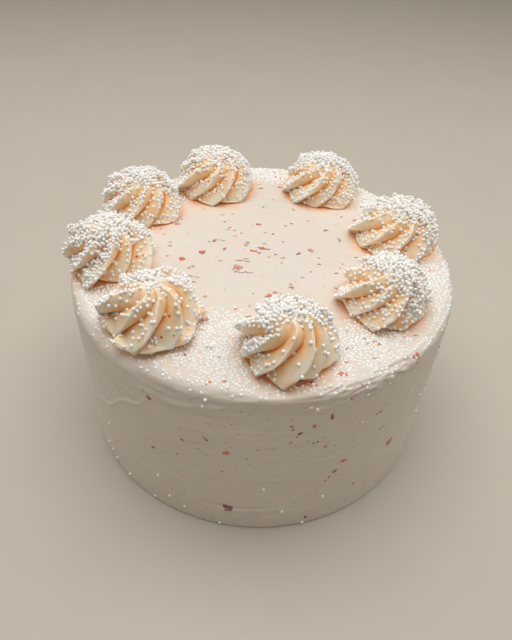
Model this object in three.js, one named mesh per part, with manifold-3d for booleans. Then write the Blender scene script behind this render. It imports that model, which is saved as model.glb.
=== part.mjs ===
// White chocolate cake: a tall round cake under smooth frosting, with a ring of piped swirls round
// its top and white sugar pearls scattered over them.
// Millimetres, +Z up. The origin is the middle of the flat underside, and the front faces -Y.
// Angles are in degrees, anticlockwise from +X as seen from above.

import * as THREE from 'three';
import { mergeVertices } from 'three/addons/utils/BufferGeometryUtils.js';
import { ParametricGeometry } from 'three/addons/geometries/ParametricGeometry.js';
import Module from 'manifold-3d';

const wasm = await Module();
wasm.setup();

const FULL_TURN = 360;
const HALF_TURN = 180;
const RIGHT_ANGLE = 90;

// The frosted cake. Its rim is rounded, more so at the front left, and its wall waves a little where
// the spatula passed. At the front the wall tapers in under the rim, and a short sharp lip stands out.
const CAKE_RADIUS = 95.8;
const CAKE_HEIGHT = 99;
const CAKE_SIDES = 72;
const FOOT_EDGE = { inset: 1, level: 2 };
const WALL_BANDS = 3;
const WALL_WAVE = { depth: 0.5, waves: 3, slant: 140 };
const RIM = {
  round: 4.4,
  steps: 4,
  extra: { size: 2.5, middle: 230, spread: 20 },
  sharp: { size: -2.6, middle: 277, spread: 9 },
};
const TAPER = { size: -1.8, middle: 262, spread: 42, depth: 26 };
const LIP = { size: 2, middle: 277, spread: 9, depth: 6 };
const TOP_DISH = { radius: 50, depth: 0.6 };

// The piped swirls. Each is a dome cut into blades that wind clockwise on their way out from its
// top. A profile's rise is -90 at its foot, 0 where it is widest and 90 at its top. A blade's crest
// lies near the groove clockwise of it at the top, and near the other groove at the foot.
const SWIRL_GAP = 0.3;
const SWIRL_ROOT = { depth: 6, share: 0.75 };
const SWIRL_FULLNESS = 0.86;
const SWIRL_RISES = [-RIGHT_ANGLE, 0, 15, 31, 46, 60, 75, RIGHT_ANGLE];
const BLADE_STEPS = [0, 0.26, 0.5, 0.76];
const CREST_STEP = 0.5;
const SKIN_STEP = { round: 0.02, rise: 1 };
const CREST_AT = { foot: 0.76, top: 0.25, from: 0.05, to: 0.7 };
const CREST_CURVE = { foot: 1.15, top: 0.8, from: 0, to: 0.4 };
const WIND_BEND = 0.85;
const DROOP_FADE = 1.5;
const TIP_UNEVEN = 0.05;
const NARROW_SIDE = 285;
const UNEVEN_TURN = 137.5;

// What most swirls share: the number of blades, the depth of a groove and the width of the foot as
// shares of the radius, the widest level and how far the blades' tips droop as shares of the height,
// how uneven the blades are in size and in the angle between them, and where the top has leant to.
const PLAIN_SWIRL = {
  blades: 9, groove: 0.22, foot: 0.97, widest: 0.13, droop: 0.1, uneven: 0.14, squeeze: 3, tip: [0, -3],
};

// Places and sizes of the swirls: the direction and distance of each one's middle from the cake's
// axis, its radius and height, the turn of its first blade, how far its blades wind, the start of
// its unevenness, and the direction from which the pearls were thrown at it.
const SWIRLS = {
  swirl_front: {
    angle: 281, reach: 70.6, radius: 20.6, height: 27, turn: 0, wind: 104, phase: 21, shower: 105,
    groove: 0.32, foot: 0.86, widest: 0.23, droop: 0.13, tip: [-3, -5],
  },
  swirl_front_left: {
    angle: 230.3, reach: 72, radius: 21.4, height: 26, turn: 5, wind: 76, phase: 82, shower: 100,
    blades: 8, groove: 0.33, foot: 0.78, widest: 0.3, droop: 0.16, uneven: 0.2, squeeze: 6, tip: [2, -5],
  },
  swirl_left: {
    angle: 189.2, reach: 76.6, radius: 21.9, height: 24, turn: 30, wind: 88, phase: 143, shower: 150,
    groove: 0.31, foot: 0.9, widest: 0.2,
  },
  swirl_back_left: {
    angle: 151.2, reach: 79.1, radius: 22.2, height: 22.5, turn: 20, wind: 92, phase: 204, shower: 110,
  },
  swirl_back_mid_left: {
    angle: 114.7, reach: 74, radius: 22.8, height: 22.8, turn: 5, wind: 96, phase: 265, shower: 95,
  },
  swirl_back_mid_right: {
    angle: 65.6, reach: 75.8, radius: 22, height: 22, turn: 35, wind: 92, phase: 326, shower: 90,
  },
  swirl_right_back: {
    angle: 18, reach: 73.5, radius: 23, height: 21.5, turn: 15, wind: 92, phase: 27, shower: 60,
  },
  swirl_right_front: {
    angle: 331, reach: 65.9, radius: 21.3, height: 23.5, turn: 25, wind: 96, phase: 88, shower: 45,
    groove: 0.25, foot: 0.9, widest: 0.18,
  },
};

// The sugar pearls: thickest on the swirls, on the side that they were thrown at, and in the band
// between the swirls, with a few on the wall. Each is sunk a little in the frosting.
const PEARL_RADIUS = 0.8;
const PEARL_RAISED = 0.2;
const PEARL_TRIES = 4000;
const SWIRL_PEARLS = { count: 14, spacing: 4.2, lowest: 12, highest: 88, acrossCrest: 0.15, edge: -0.45 };
const TOP_PEARLS = { count: 60, spacing: 5.5, inner: 56, outer: 93, clear: 2.5 };
const WALL_PEARLS = { count: 10, spacing: 12, low: 6, high: 80 };
const CAKE_SEED = 11;
const FIRST_SWIRL_SEED = 21;

const FROSTING = { color: 0xf0e0d0, roughness: 0.55, metalness: 0 };
const PIPED_FROSTING = { color: 0xf0d6b4, roughness: 0.5, metalness: 0 };

function sine(degrees) {
  return Math.sin(THREE.MathUtils.degToRad(degrees));
}

function cosine(degrees) {
  return Math.cos(THREE.MathUtils.degToRad(degrees));
}

// A point from its direction and distance from the axis and its level.
function polarPoint(angle, radius, level) {
  return new THREE.Vector3(radius * cosine(angle), radius * sine(angle), level);
}

// A repeatable source of random numbers from 0 to 1.
function randomSource(seed) {
  const multiplier = 1664525;
  const increment = 1013904223;
  const range = 2 ** 32;
  let state = seed;
  return () => {
    state = (state * multiplier + increment) % range;
    return state / range;
  };
}

// A smooth bump round one direction, fading out to both sides of it.
function bumpAt(angle, { size, middle, spread }) {
  const apart = THREE.MathUtils.euclideanModulo(angle - middle + HALF_TURN, FULL_TURN) - HALF_TURN;
  return size * Math.exp(-((apart / spread) ** 2));
}

// Slides from the value at the foot to the value at the top, slowly at both ends.
function slide(place, { foot, top, from, to }) {
  return THREE.MathUtils.lerp(foot, top, THREE.MathUtils.smoothstep(place, from, to));
}

// A closed solid from a geometry whose edges meet. Triangles shrunk to a line at a pole are dropped.
function solidFrom(geometry) {
  geometry.deleteAttribute('normal');
  geometry.deleteAttribute('uv');
  const merged = mergeVertices(geometry);
  const kept = [];
  for (let at = 0; at < merged.index.count; at += 3) {
    const [a, b, c] = merged.index.array.slice(at, at + 3);
    if (a !== b && b !== c && c !== a) {
      kept.push(a, b, c);
    }
  }
  return new wasm.Manifold(new wasm.Mesh({
    numProp: 3,
    vertProperties: new Float32Array(merged.attributes.position.array),
    triVerts: new Uint32Array(kept),
  }));
}

// A closed solid from profiles set round an axis. pointAt(side, station) gives each of its points,
// and the first and last stations of all profiles meet on the axis.
function ringSolid(sides, stations, pointAt) {
  const surface = (u, v, point) => {
    const side = Math.round(u * sides) % sides;
    const station = Math.round(v * (stations - 1));
    point.copy(pointAt(side, station));
  };
  return solidFrom(new ParametricGeometry(surface, sides, stations - 1));
}

// The largest body of a solid, so that no loose scrap is left.
function largestBody(solid) {
  return solid.decompose().reduce((most, body) => (body.volume() > most.volume() ? body : most));
}

// A named mesh of a solid, in a material of its own.
function meshOf(name, solid, finish) {
  const faces = solid.getMesh();
  const geometry = new THREE.BufferGeometry();
  geometry.setAttribute('position', new THREE.BufferAttribute(faces.vertProperties, 3));
  geometry.setIndex(new THREE.BufferAttribute(faces.triVerts, 1));
  const mesh = new THREE.Mesh(geometry, new THREE.MeshStandardMaterial({ ...finish, flatShading: true }));
  mesh.name = name;
  return mesh;
}

// The wall's distance from the axis, in one direction and at one level.
function wallRadius(angle, level) {
  const share = level / CAKE_HEIGHT;
  const below = CAKE_HEIGHT - level;
  const lip = bumpAt(angle, LIP) * Math.max(0, 1 - below / LIP.depth);
  const taper = bumpAt(angle, TAPER) * Math.max(0, 1 - below / TAPER.depth);
  const wave = WALL_WAVE.depth * sine(WALL_WAVE.waves * angle + WALL_WAVE.slant * share);
  return CAKE_RADIUS + lip + taper + wave * sine(HALF_TURN * share);
}

// The radius of the rounded rim in one direction.
function rimRound(angle) {
  return RIM.round + bumpAt(angle, RIM.extra) + bumpAt(angle, RIM.sharp);
}

// The cake's profile in one direction, from the middle of its underside to the middle of its top.
// It is grown by the given gap where it cuts a swirl's foot.
function cakeProfile(angle, gap) {
  const round = rimRound(angle);
  const shoulder = CAKE_HEIGHT - round;
  const inset = wallRadius(angle, shoulder) - round;
  const profile = [[0, -gap], [wallRadius(angle, 0) - FOOT_EDGE.inset + gap, -gap]];
  for (let band = 0; band <= WALL_BANDS; band++) {
    const level = THREE.MathUtils.lerp(FOOT_EDGE.level, shoulder, band / WALL_BANDS);
    profile.push([wallRadius(angle, level) + gap, level]);
  }
  for (let step = 1; step <= RIM.steps; step++) {
    const bend = (RIGHT_ANGLE * step) / RIM.steps;
    profile.push([inset + (round + gap) * cosine(bend), shoulder + (round + gap) * sine(bend)]);
  }
  profile.push([TOP_DISH.radius, CAKE_HEIGHT + gap]);
  profile.push([0, CAKE_HEIGHT + gap - TOP_DISH.depth]);
  return profile;
}

// The cake without its pearls, grown all over by the given gap.
function cakeSolid(gap = 0) {
  const angleOf = (side) => (FULL_TURN * side) / CAKE_SIDES;
  const profiles = Array.from({ length: CAKE_SIDES }, (_, side) => cakeProfile(angleOf(side), gap));
  return ringSolid(CAKE_SIDES, profiles[0].length, (side, station) => {
    const [radius, level] = profiles[side][station];
    return polarPoint(angleOf(side), radius, level);
  });
}

// A point on a swirl, measured from the middle of its foot. The round place counts blades, with its
// fraction running from one groove to the next and at a half on the crest.
function swirlPoint(swirl, round, rise) {
  const blade = Math.floor(round);
  const step = round - blade;
  const odd = sine(UNEVEN_TURN * blade + swirl.phase);
  const climb = Math.max(0, rise);
  const top = climb / RIGHT_ANGLE;
  const under = sine(Math.max(0, -rise));

  const past = 2 * step - 1;
  const crest = slide(top, CREST_AT);
  const share = past < 0 ? crest * (1 + past) : crest + (1 - crest) * past;
  const bladeRise = 1 - Math.abs(past) ** slide(top, CREST_CURVE);

  const widest = swirl.widest * swirl.height;
  const dome = cosine(climb) ** SWIRL_FULLNESS * (1 - (1 - swirl.foot) * under ** 2);
  const outward = dome * (1 + TIP_UNEVEN * odd * bladeRise * (1 - top));
  const level = widest * (1 - under) + (swirl.height - widest) * sine(climb) ** SWIRL_FULLNESS;
  const swell = 1 + swirl.uneven * odd * sine(HALF_TURN * step);
  const groove = swirl.groove * swirl.radius * (1 - top ** 2) * (1 - bladeRise * swell);
  const sag = swirl.droop * swirl.height * bladeRise * (1 - top) ** DROOP_FADE * (1 - under);

  const leant = ((blade + share) * FULL_TURN) / swirl.blades;
  const squeezed = -swirl.squeeze * sine(2 * (leant + swirl.turn + swirl.wind / 2 - NARROW_SIDE));
  const angle = swirl.turn + leant + squeezed + swirl.wind * top ** WIND_BEND;
  const radius = Math.max(0, swirl.radius * outward - groove * cosine(climb));
  const point = polarPoint(angle, radius, level - groove * sine(climb) - sag);
  return point.add(new THREE.Vector3(...swirl.tip, 0).multiplyScalar(top ** 2));
}

// The middle of a swirl's foot.
function swirlMiddle({ angle, reach }) {
  return polarPoint(angle, reach, CAKE_HEIGHT);
}

// A swirl without its pearls. Its root narrows down into the cake and is cut off at the cake's skin.
function swirlSolid(swirl, cakeCut) {
  const sides = swirl.blades * BLADE_STEPS.length;
  const rounds = Array.from({ length: sides }, (_, side) => (
    Math.floor(side / BLADE_STEPS.length) + BLADE_STEPS[side % BLADE_STEPS.length]
  ));
  const underFoot = 2;
  const solid = ringSolid(sides, underFoot + SWIRL_RISES.length, (side, station) => {
    const point = swirlPoint(swirl, rounds[side], SWIRL_RISES[Math.max(0, station - underFoot)]);
    if (station < underFoot) {
      point.multiplyScalar(SWIRL_ROOT.share * station).setZ(-SWIRL_ROOT.depth);
    }
    return point.add(swirlMiddle(swirl));
  });
  return largestBody(solid.subtract(cakeCut));
}

// A spot for a pearl on a swirl, near a crest and more often towards the top, or none on the side
// that the pearls missed.
function swirlSpot(swirl, random) {
  const rise = THREE.MathUtils.lerp(SWIRL_PEARLS.lowest, SWIRL_PEARLS.highest, Math.sqrt(random()));
  const { acrossCrest } = SWIRL_PEARLS;
  const blade = Math.floor(random() * swirl.blades);
  const round = blade + CREST_STEP + THREE.MathUtils.lerp(-acrossCrest, acrossCrest, random());
  const point = swirlPoint(swirl, round, rise);
  const aside = point.dot(polarPoint(swirl.shower, 1, 0)) / swirl.radius;
  const across = swirlPoint(swirl, round + SKIN_STEP.round, rise).sub(point);
  const along = swirlPoint(swirl, round, rise + SKIN_STEP.rise).sub(point);
  const spot = { point: point.add(swirlMiddle(swirl)), normal: across.cross(along).normalize() };
  return aside < SWIRL_PEARLS.edge ? null : spot;
}

// A spot for a pearl on the top or its rim, or none where a swirl is too near.
function topSpot(random) {
  const angle = FULL_TURN * random();
  const radius = THREE.MathUtils.lerp(TOP_PEARLS.inner, TOP_PEARLS.outer, Math.sqrt(random()));
  const round = rimRound(angle);
  const pastShoulder = Math.max(0, radius - (wallRadius(angle, CAKE_HEIGHT) - round));
  const bend = THREE.MathUtils.radToDeg(Math.asin(Math.min(1, pastShoulder / round)));
  const point = polarPoint(angle, radius, CAKE_HEIGHT - round * (1 - cosine(bend)));
  const crowded = Object.values(SWIRLS).some((swirl) => {
    const middle = swirlMiddle(swirl).setZ(point.z);
    return middle.distanceTo(point) < swirl.radius + TOP_PEARLS.clear;
  });
  return crowded ? null : { point, normal: polarPoint(angle, sine(bend), cosine(bend)) };
}

// A spot for a pearl on the wall.
function wallSpot(random) {
  const angle = FULL_TURN * random();
  const level = THREE.MathUtils.lerp(WALL_PEARLS.low, WALL_PEARLS.high, random());
  return { point: polarPoint(angle, wallRadius(angle, level), level), normal: polarPoint(angle, 1, 0) };
}

// A pearl at a spot, turned at random.
function pearlSolid({ point, normal }, random) {
  const turn = new THREE.Euler(...[0, 1, 2].map(() => random() * Math.PI));
  const middle = point.clone().addScaledVector(normal, PEARL_RADIUS * PEARL_RAISED);
  const geometry = new THREE.IcosahedronGeometry(PEARL_RADIUS, 0);
  geometry.applyMatrix4(new THREE.Matrix4().makeRotationFromEuler(turn).setPosition(middle));
  return solidFrom(geometry);
}

// Pearls on random spots, each kept only where it is far enough from those before.
function scatteredPearls({ count, spacing }, random, spotFor) {
  const spots = [];
  for (let tries = 0; tries < PEARL_TRIES && spots.length < count; tries++) {
    const spot = spotFor(random);
    if (spot && spots.every(({ point }) => point.distanceTo(spot.point) > spacing)) {
      spots.push(spot);
    }
  }
  return spots.map((spot) => pearlSolid(spot, random));
}

// The frosted cake with the pearls on its top and wall.
function frostedCake() {
  const random = randomSource(CAKE_SEED);
  const onTop = scatteredPearls(TOP_PEARLS, random, topSpot);
  const onWall = scatteredPearls(WALL_PEARLS, random, wallSpot);
  return largestBody(wasm.Manifold.union([cakeSolid(), ...onTop, ...onWall]));
}

// A swirl with its pearls.
function pearledSwirl(sizes, seed, cakeCut) {
  const random = randomSource(seed);
  const swirl = { ...PLAIN_SWIRL, ...sizes };
  const pearls = scatteredPearls(SWIRL_PEARLS, random, () => swirlSpot(swirl, random));
  return largestBody(wasm.Manifold.union([swirlSolid(swirl, cakeCut), ...pearls]));
}

const cake = new THREE.Group();
cake.add(meshOf('frosted_cake', frostedCake(), FROSTING));
const cakeCut = cakeSolid(SWIRL_GAP);
Object.entries(SWIRLS).forEach(([name, sizes], place) => {
  cake.add(meshOf(name, pearledSwirl(sizes, FIRST_SWIRL_SEED + place, cakeCut), PIPED_FROSTING));
});

export default cake;
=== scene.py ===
"""White chocolate cake: spread and piped buttercream, sugar pearls and flecks of dried fruit.

Blender works in metres. The classes below hold their sizes in millimetres, as a cake is measured,
with +Z up, the front facing -Y, and angles in degrees anticlockwise from +X as seen from above.
"""
import logging
import math
from dataclasses import dataclass, field
from enum import Enum

import bpy
import numpy as np
from bpy.types import Material, Node, NodeSocket, NodeTree, Object
from mathutils import Matrix, Vector, noise
from mathutils.bvhtree import BVHTree


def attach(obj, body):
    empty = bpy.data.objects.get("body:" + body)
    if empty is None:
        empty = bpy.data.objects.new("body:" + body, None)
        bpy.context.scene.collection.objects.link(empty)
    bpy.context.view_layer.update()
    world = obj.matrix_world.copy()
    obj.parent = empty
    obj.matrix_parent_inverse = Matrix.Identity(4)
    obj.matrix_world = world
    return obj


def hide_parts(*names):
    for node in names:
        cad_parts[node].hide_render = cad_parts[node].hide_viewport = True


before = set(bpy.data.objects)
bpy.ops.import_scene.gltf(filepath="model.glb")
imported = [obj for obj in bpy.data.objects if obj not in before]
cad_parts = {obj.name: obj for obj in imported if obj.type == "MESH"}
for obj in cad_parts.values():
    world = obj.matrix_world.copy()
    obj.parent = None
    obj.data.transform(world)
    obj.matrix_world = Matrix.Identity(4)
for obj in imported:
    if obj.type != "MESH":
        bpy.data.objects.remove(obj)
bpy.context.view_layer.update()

BODY = "root"
MM = 0.001
FULL_TURN = 360.0
HALF_TURN = 180.0
RIGHT_ANGLE = 90.0

SEED_STEP = np.array([3.7, 7.1, 1.9])  # how far the random field of one seed lies from the next
MIX_UNDER, MIX_OVER, MIXED = 6, 7, 2  # where a Mix node takes its two colours and gives the result

Colour = tuple[float, float, float, float]
Spot = tuple[np.ndarray, np.ndarray]  # a place on a skin and the normal there

log = logging.getLogger("cake")


class Slot(Enum):
    """The record's material slots."""

    FROSTING = "frosting"
    PIPED_FROSTING = "piped_frosting"


class FruitTint(Enum):
    """Colours of the dried fruit in the frosting, as sRGB hex."""

    ORANGE = "#F07A3A"
    RED = "#E0705C"
    DARK_RED = "#A65A50"
    VIOLET = "#B49894"
    PINK = "#EDA898"


def linear_colour(hex_code: str) -> Colour:
    """Turns an sRGB hex colour to the linear colour that a shader takes.

    Args:
        hex_code: The colour as "#RRGGBB".

    Returns:
        Linear red, green and blue, and an alpha of 1.
    """
    channels = [int(hex_code[at:at + 2], 16) / 255 for at in (1, 3, 5)]
    linear = [c / 12.92 if c <= 0.04045 else ((c + 0.055) / 1.055) ** 2.4 for c in channels]
    return (*linear, 1.0)


def per_metre(size_mm: float) -> float:
    """Gives the texture scale that repeats a pattern once in a size in millimetres."""
    return 1.0 / (size_mm * MM)


def sine(degrees: np.ndarray | float) -> np.ndarray:
    """Gives the sine of angles in degrees."""
    return np.sin(np.radians(degrees))


def cosine(degrees: np.ndarray | float) -> np.ndarray:
    """Gives the cosine of angles in degrees."""
    return np.cos(np.radians(degrees))


def around(out: np.ndarray, turn: np.ndarray, level: np.ndarray) -> np.ndarray:
    """Gives the places at distances from an axis, in directions and at levels."""
    return np.stack([out * cosine(turn), out * sine(turn), level], axis=-1)


def apart(angles: np.ndarray, middle: float) -> np.ndarray:
    """Gives how far angles are from a middle one, from -180 to 180 degrees."""
    return (angles - middle + FULL_TURN + HALF_TURN) % FULL_TURN - HALF_TURN


def smooth_step(values: np.ndarray, low: float, high: float) -> np.ndarray:
    """Rises smoothly from 0 at one value to 1 at another.

    Args:
        values: The values to map.
        low: Where the result leaves 0.
        high: Where it reaches 1.

    Returns:
        The mapped values.
    """
    share = np.clip((values - low) / (high - low), 0, 1)
    return share * share * (3 - 2 * share)


@dataclass(frozen=True)
class SoftRelief:
    """Soft random swells and dents: their height, the size of one along X, Y and Z, and a seed."""

    height: float
    size: tuple[float, float, float]
    seed: float

    def at(self, points: np.ndarray) -> np.ndarray:
        """Gives the relief at places in millimetres, one a row, from about -height to height."""
        shifted = points / np.array(self.size) + self.seed * SEED_STEP
        return self.height * np.array([noise.noise(Vector(place)) for place in shifted])


@dataclass
class Skin:
    """A closed triangle mesh in millimetres, with named values at its points."""

    points: np.ndarray
    triangles: np.ndarray
    marks: dict[str, np.ndarray] = field(default_factory=dict)

    def corners(self) -> tuple[np.ndarray, ...]:
        """Gives the first, second and third corners of all triangles."""
        return tuple(self.points[self.triangles[:, corner]] for corner in range(3))

    def facing(self) -> tuple[np.ndarray, np.ndarray]:
        """Measures all triangles.

        Returns:
            Their unit normals and their areas.
        """
        first, second, third = self.corners()
        cross = np.cross(second - first, third - first)
        length = np.linalg.norm(cross, axis=1)
        return cross / np.maximum(length, 1e-9)[:, None], length / 2

    def to_object(self, name: str) -> Object:
        """Makes the Blender object of this skin.

        Args:
            name: The object's name.

        Returns:
            The object, smooth shaded and linked to the scene.
        """
        mesh = bpy.data.meshes.new(name)
        mesh.vertices.add(len(self.points))
        mesh.vertices.foreach_set("co", (self.points * MM).ravel())
        mesh.loops.add(self.triangles.size)
        mesh.loops.foreach_set("vertex_index", self.triangles.ravel())
        mesh.polygons.add(len(self.triangles))
        mesh.polygons.foreach_set("loop_start", np.arange(0, self.triangles.size, 3))
        mesh.update(calc_edges=True)
        mesh.shade_smooth()
        for mark, values in self.marks.items():
            mesh.attributes.new(mark, "FLOAT", "POINT").data.foreach_set("value", values)
        made = bpy.data.objects.new(name, mesh)
        bpy.context.scene.collection.objects.link(made)
        return made


@dataclass
class Drape:
    """Finds places on a skin, so that small things can be laid on it."""

    skin: Skin
    above: float = 300.0
    rim_level: float = 95.0
    wall_reach: float = 96.0
    tree: BVHTree = field(init=False)

    def __post_init__(self) -> None:
        """Sorts the skin's triangles for the search."""
        self.tree = BVHTree.FromPolygons(self.skin.points.tolist(), self.skin.triangles.tolist())

    def nearest(self, point: np.ndarray) -> Spot:
        """Gives the skin's place nearest to a point, and its normal there."""
        place, normal, _, _ = self.tree.find_nearest(Vector(point))
        return np.array(place), np.array(normal)

    def on_top(self, x: float, y: float) -> Spot:
        """Gives the highest place of the skin at x and y, or the nearest one by the cake's rim."""
        place, normal, _, _ = self.tree.ray_cast(Vector((x, y, self.above)), Vector((0, 0, -1)))
        return self.nearest((x, y, self.rim_level)) if place is None else (np.array(place), np.array(normal))

    def on_wall(self, angle: float, level: float) -> Spot:
        """Gives the skin's place in a direction from the cake's axis and at a level."""
        return self.nearest(around(self.wall_reach, angle, level))


def ring_triangles(rings: int, sides: int) -> np.ndarray:
    """Joins rings of points, and a pole at each end, into one closed skin.

    Args:
        rings: How many rings there are between the poles.
        sides: How many points a ring has, anticlockwise as seen from above.

    Returns:
        The triangles. Point 0 is the low pole, then come the rings from low to high, then the high pole.
    """
    side = np.arange(sides)
    after = (side + 1) % sides
    low = 1 + np.arange(rings - 1)[:, None] * sides
    a, b = (low + side).ravel(), (low + after).ravel()
    d, c = a + sides, b + sides
    last = 1 + (rings - 1) * sides
    poles = [
        np.stack([np.zeros(sides, int), 1 + after, 1 + side], axis=1),
        np.stack([np.full(sides, last + sides), last + side, last + after], axis=1),
    ]
    bands = [np.stack([a, b, c], axis=1), np.stack([a, c, d], axis=1)]
    return np.concatenate(bands + poles).astype(np.int32)


def place_piece(piece: Object, material: Material, nodes: tuple[str, ...] = ()) -> None:
    """Dresses a piece, sets it on the cake's body and reports it.

    Args:
        piece: The piece's object.
        material: Its finish.
        nodes: The solid nodes that the piece stands for.
    """
    piece.data.materials.append(material)
    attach(piece, BODY)
    if nodes:
        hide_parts(*nodes)
    log.info("%s: %d triangles", piece.name, len(piece.data.polygons))


def add_node(tree: NodeTree, kind: str, settings: dict, links: dict) -> Node:
    """Adds a shader node with its settings and its links.

    Args:
        tree: The node tree to add it to.
        kind: The node's type, without the leading "ShaderNode".
        settings: Values by name: an attribute of the node, or else one of its inputs.
        links: Output sockets by the name or number of the input that each one feeds.

    Returns:
        The new node.
    """
    node = tree.nodes.new("ShaderNode" + kind)
    for name, value in settings.items():
        if isinstance(name, str) and hasattr(node, name):
            setattr(node, name, value)
        else:
            node.inputs[name].default_value = value
    for name, output in links.items():
        tree.links.new(output, node.inputs[name])
    return node


@dataclass(frozen=True)
class Finish:
    """The part that all finishes share: a material that is started, clouded, painted over and closed."""

    name: str
    cloud_mm: float

    def start(self) -> tuple[Material, NodeTree, NodeSocket]:
        """Starts the material.

        Returns:
            The material, its node tree and the place on the object for its patterns.
        """
        material = bpy.data.materials.new(self.name)
        material.use_nodes = True
        material.node_tree.nodes.clear()
        place = add_node(material.node_tree, "TexCoord", {}, {}).outputs["Object"]
        return material, material.node_tree, place

    def clouded(self, tree: NodeTree, place: NodeSocket, tones: tuple[Colour, Colour]) -> NodeSocket:
        """Drifts between two tones in soft clouds.

        Args:
            tree: The node tree.
            place: The place on the object.
            tones: The two linear colours.

        Returns:
            The colour.
        """
        clouds = add_node(tree, "TexNoise", {"Scale": per_metre(self.cloud_mm)}, {"Vector": place})
        drift = {"data_type": "RGBA", MIX_UNDER: tones[0], MIX_OVER: tones[1]}
        return add_node(tree, "Mix", drift, {0: clouds.outputs["Fac"]}).outputs[MIXED]

    def painted(self, tree: NodeTree, colour: NodeSocket, layers: dict[str, NodeSocket]) -> NodeSocket:
        """Paints layers over a colour, one after the other.

        Args:
            tree: The node tree.
            colour: The colour underneath.
            layers: How much each layer covers, from 0 to 1, by its sRGB hex colour.

        Returns:
            The painted colour.
        """
        for tint, share in layers.items():
            layer = {"data_type": "RGBA", MIX_OVER: linear_colour(tint)}
            colour = add_node(tree, "Mix", layer, {0: share, MIX_UNDER: colour}).outputs[MIXED]
        return colour

    def plain(self, tones: tuple[Colour, Colour], settings: dict) -> Material:
        """Builds a material that has only clouds of two tones.

        Args:
            tones: The two linear colours.
            settings: The surface's plain values.

        Returns:
            The material.
        """
        material, tree, place = self.start()
        self.close(tree, settings, {"Base Color": self.clouded(tree, place, tones)})
        return material

    def close(self, tree: NodeTree, settings: dict, links: dict) -> None:
        """Ends the tree with the surface that the light meets.

        Args:
            tree: The node tree.
            settings: The surface's plain values.
            links: Its linked values.
        """
        surface = add_node(tree, "BsdfPrincipled", settings, links)
        add_node(tree, "OutputMaterial", {}, {"Surface": surface.outputs["BSDF"]})


@dataclass(frozen=True)
class Buttercream(Finish):
    """The part that all buttercream shares: butter beaten with sugar, and crumbs of dried fruit in it.

    The fat and sugar scatter light just under the skin, so it looks soft and has no hard shadow. Fat
    has an IOR of 1.46. How far light goes is given for red, green and blue.
    """

    speck: str = "#C9502F"
    speck_cell_mm: float = 3.0
    speck_share: float = 0.07
    speck_reach: tuple[float, float] = (0.1, 0.28)
    speck_cover: float = 1.0
    roughness: float = 0.45
    fat_ior: float = 1.46
    scatter_mm: tuple[float, float, float] = (1.0, 0.8, 0.65)

    def specks(self, tree: NodeTree, place: NodeSocket) -> NodeSocket:
        """Scatters crumbs of dried fruit through the cream.

        Args:
            tree: The node tree.
            place: The place on the object.

        Returns:
            How much a crumb covers the cream.
        """
        # The real crumbs are about 0.5 mm. They are drawn up to three times as wide, so that they show.
        cells = add_node(tree, "TexVoronoi", {"Scale": per_metre(self.speck_cell_mm)}, {"Vector": place})
        core = add_node(
            tree, "MapRange",
            {
                "From Min": self.speck_reach[0], "From Max": self.speck_reach[1],
                "To Min": self.speck_cover, "To Max": 0.0,
            },
            {"Value": cells.outputs["Distance"]},
        )
        draw = add_node(tree, "SeparateColor", {}, {"Color": cells.outputs["Color"]})
        chosen = add_node(
            tree, "Math", {"operation": "LESS_THAN", 1: self.speck_share}, {0: draw.outputs["Red"]}
        )
        both = {0: core.outputs["Result"], 1: chosen.outputs["Value"]}
        return add_node(tree, "Math", {"operation": "MULTIPLY"}, both).outputs["Value"]

    def close_cream(self, tree: NodeTree, links: dict) -> None:
        """Ends the tree with the cream's soft skin.

        Args:
            tree: The node tree.
            links: The skin's linked values.
        """
        farthest = self.scatter_mm[0]
        settings = {
            "Roughness": self.roughness, "IOR": self.fat_ior,
            "Subsurface Weight": 1.0, "Subsurface Scale": farthest * MM,
            "Subsurface Radius": tuple(size / farthest for size in self.scatter_mm),
        }
        self.close(tree, settings, links)


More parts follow.
